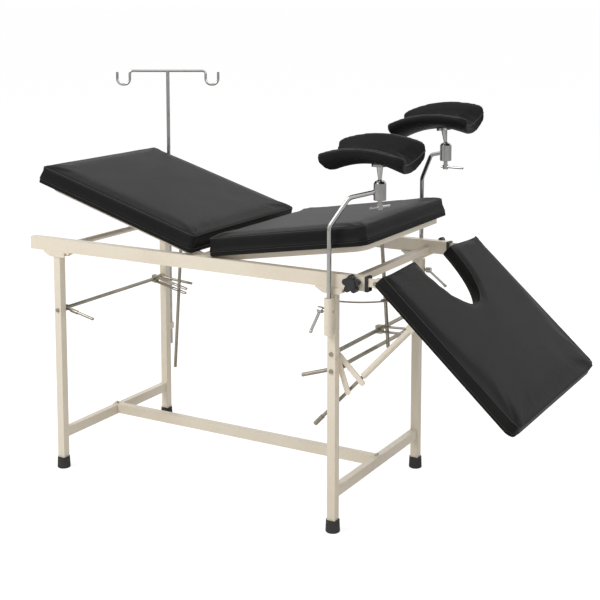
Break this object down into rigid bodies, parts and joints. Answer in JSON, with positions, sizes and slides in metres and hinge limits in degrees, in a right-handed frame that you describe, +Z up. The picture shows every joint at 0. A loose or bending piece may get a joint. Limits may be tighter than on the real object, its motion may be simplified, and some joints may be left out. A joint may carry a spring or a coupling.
{
  "type": "obstetric delivery table",
  "caption": "Delivery table on a four-legged tube frame with tilting back and seat sections, a drop-down leg section with a cut-out, knee crutches on ball clamps and an infusion pole.",
  "frame": {"origin": "On the floor under the middle of the table's bounding box", "axes": "X from the head end to the foot end, Y from the near side to the far side, Z up"},
  "size_m": [1.7082, 0.7405, 1.2475],
  "materials": {
    "frame_paint": "satin ivory enamel",
    "vinyl": "black grained vinyl cover",
    "backing_board": "dark lacquered plywood",
    "rubber": "matte black moulded rubber",
    "black_plastic": "moulded black plastic",
    "bright_steel": "polished plated steel",
    "plated_steel": "yellowish zinc-plated steel"
  },
  "bodies": {
    "frame": {"leg_head_near": "frame_paint", "leg_head_far": "frame_paint", "leg_foot_near": "frame_paint", "leg_foot_far": "frame_paint", "rubber_feet": "rubber", "side_rail_near": "frame_paint", "side_rail_far": "frame_paint", "gusset_plates": "frame_paint", "cross_tube_head": "frame_paint", "cross_tube_foot": "frame_paint", "lower_crossbar_head": "frame_paint", "lower_crossbar_foot": "frame_paint", "stretcher": "frame_paint", "frame_bolts": "plated_steel", "crutch_sockets": "frame_paint", "pole_brackets": "frame_paint", "back_axle": "plated_steel", "seat_axle": "plated_steel", "clamp_rod_foot": "plated_steel", "strut_clamp_bars": "frame_paint", "prop_guide_wire": "plated_steel", "leg_plug_near": "frame_paint", "leg_plug_far": "frame_paint", "plug_collars": "black_plastic", "leg_hinge_pins": "plated_steel"},
    "back_section": {"back_frame": "frame_paint", "back_board": "backing_board", "back_cushion": "vinyl"},
    "back_prop_rod": {"back_prop": "plated_steel"},
    "seat_section": {"seat_frame": "frame_paint", "seat_board": "backing_board", "seat_cushion": "vinyl"},
    "seat_prop_rod": {"seat_prop": "plated_steel"},
    "leg_section": {"leg_frame": "frame_paint", "leg_board": "backing_board", "leg_cushion": "vinyl"},
    "leg_strut": {"leg_strut_tube": "frame_paint"},
    "leg_strut_slider": {"leg_strut_rod": "plated_steel"},
    "head_release": {"clamp_rod_head": "plated_steel", "release_lever_near": "plated_steel", "release_lever_far": "plated_steel", "back_clamp_plates": "plated_steel"},
    "seat_clamp": {"seat_clamp_plates": "plated_steel"},
    "foot_release": {"release_rod_foot": "plated_steel"},
    "crutch_near": {"crutch_post_near": "bright_steel", "crutch_clamp_near": "bright_steel"},
    "crutch_far": {"crutch_post_far": "bright_steel", "crutch_clamp_far": "bright_steel"},
    "stem_near": {"ball_stem_near": "bright_steel"},
    "stem_far": {"ball_stem_far": "bright_steel"},
    "knee_near": {"knee_pad_near": "vinyl"},
    "knee_far": {"knee_pad_far": "vinyl"},
    "spindle_near": {"clamp_spindle_near": "bright_steel"},
    "spindle_far": {"clamp_spindle_far": "bright_steel"},
    "screw_near": {"socket_screw_near": "bright_steel"},
    "screw_far": {"socket_screw_far": "bright_steel"},
    "knob_near": {"star_knob_near": "black_plastic"},
    "knob_far": {"star_knob_far": "black_plastic"},
    "infusion_pole": {"iv_pole": "bright_steel"},
    "pole_screw": {"pole_clamp_screw": "bright_steel"}
  },
  "joints": [
    {"name": "back_tilt", "type": "hinge", "parent": "frame", "child": "back_section", "pos_m": [-0.1635, -0.04, 0.738], "axis": [0, 1, 0], "range_deg": [-16.4, 18]},
    {"name": "back_prop_swing", "type": "hinge", "parent": "back_section", "child": "back_prop_rod", "pos_m": [-0.56822, 0.182, 0.83627], "axis": [0, 1, 0], "range_deg": [-14.2, 11.7]},
    {"name": "seat_tilt", "type": "hinge", "parent": "frame", "child": "seat_section", "pos_m": [-0.1275, -0.04, 0.738], "axis": [0, -1, 0], "range_deg": [-9.1, 1]},
    {"name": "seat_prop_swing", "type": "hinge", "parent": "seat_section", "child": "seat_prop_rod", "pos_m": [0.29128, -0.028, 0.78557], "axis": [0, -1, 0], "range_deg": [-1.1, 10.1]},
    {"name": "leg_tilt", "type": "hinge", "parent": "frame", "child": "leg_section", "pos_m": [0.4195, -0.04, 0.73], "axis": [0, -1, 0], "range_deg": [0, 42.3]},
    {"name": "strut_swing", "type": "hinge", "parent": "leg_section", "child": "leg_strut", "pos_m": [0.51281, -0.29, 0.61264], "axis": [0, -1, 0], "range_deg": [-38.5, 0]},
    {"name": "strut_slide", "type": "slide", "parent": "leg_strut", "child": "leg_strut_slider", "axis": [-0.6845, 0, -0.729], "range_m": [-0.03, 0.03]},
    {"name": "head_release_turn", "type": "hinge", "parent": "frame", "child": "head_release", "pos_m": [-0.6935, -0.04, 0.518], "axis": [0, -1, 0], "range_deg": [0, 6], "stiffness_Nm_per_rad": 4, "springref_deg": -1.15},
    {"name": "seat_clamp_turn", "type": "hinge", "parent": "frame", "child": "seat_clamp", "pos_m": [0.2865, -0.04, 0.517], "axis": [0, -1, 0], "range_deg": [0, 4], "stiffness_Nm_per_rad": 2, "springref_deg": -2.86},
    {"name": "foot_release_turn", "type": "hinge", "parent": "frame", "child": "foot_release", "pos_m": [0.2865, -0.04, 0.468], "axis": [0, -1, 0], "range_deg": [-8, 0], "stiffness_Nm_per_rad": 3, "springref_deg": 2.86},
    {"name": "crutch_height_near", "type": "slide", "parent": "frame", "child": "crutch_near", "axis": [0, 0, 1], "range_m": [0, 0.06]},
    {"name": "crutch_height_far", "type": "slide", "parent": "frame", "child": "crutch_far", "axis": [0, 0, 1], "range_m": [-0.055, 0.01]},
    {"name": "knee_tilt_near", "type": "hinge", "parent": "crutch_near", "child": "stem_near", "pos_m": [0.39964, -0.2656, 0.99422], "axis": [0, 1, 0], "range_deg": [-15, 15]},
    {"name": "knee_turn_near", "type": "hinge", "parent": "stem_near", "child": "knee_near", "pos_m": [0.39964, -0.2656, 0.99422], "axis": [-0.0174, 0, 0.9998], "range_deg": [-30, 30]},
    {"name": "spindle_turn_near", "type": "hinge", "parent": "crutch_near", "child": "spindle_near", "pos_m": [0.39964, -0.2656, 0.948], "axis": [0, 0, 1], "range_deg": [-60, 60]},
    {"name": "socket_screw_turn_near", "type": "hinge", "parent": "frame", "child": "screw_near", "pos_m": [0.2865, -0.346, 0.643], "axis": [1, 0, 0], "range_deg": [-60, 60]},
    {"name": "knob_turn_near", "type": "hinge", "parent": "frame", "child": "knob_near", "pos_m": [0.3555, -0.3388, 0.726], "axis": [0, 1, 0], "continuous": true},
    {"name": "knee_tilt_far", "type": "hinge", "parent": "crutch_far", "child": "stem_far", "pos_m": [0.39964, 0.1856, 1.05222], "axis": [0, 1, 0], "range_deg": [-8, 15]},
    {"name": "knee_turn_far", "type": "hinge", "parent": "stem_far", "child": "knee_far", "pos_m": [0.39964, 0.1856, 1.05222], "axis": [-0.1219, 0, 0.9925], "range_deg": [-30, 30]},
    {"name": "spindle_turn_far", "type": "hinge", "parent": "crutch_far", "child": "spindle_far", "pos_m": [0.39964, 0.1856, 1.006], "axis": [0, 0, 1], "range_deg": [-60, 60]},
    {"name": "socket_screw_turn_far", "type": "hinge", "parent": "frame", "child": "screw_far", "pos_m": [0.2865, 0.266, 0.643], "axis": [1, 0, 0], "range_deg": [-60, 60]},
    {"name": "knob_turn_far", "type": "hinge", "parent": "frame", "child": "knob_far", "pos_m": [0.3555, 0.2588, 0.726], "axis": [0, 1, 0], "continuous": true},
    {"name": "pole_height", "type": "slide", "parent": "frame", "child": "infusion_pole", "axis": [0, 0, 1], "range_m": [-0.2, 0.15]},
    {"name": "pole_screw_turn", "type": "hinge", "parent": "frame", "child": "pole_screw", "pos_m": [-0.6935, 0.278, 0.64], "axis": [0, 1, 0], "continuous": true}
  ],
  "couplings": [
    {"joint": "back_prop_swing", "follows": "back_tilt", "ratio": -0.7},
    {"joint": "seat_prop_swing", "follows": "seat_tilt", "ratio": -1.1},
    {"joint": "strut_swing", "follows": "leg_tilt", "ratio": -0.905}
  ]
}
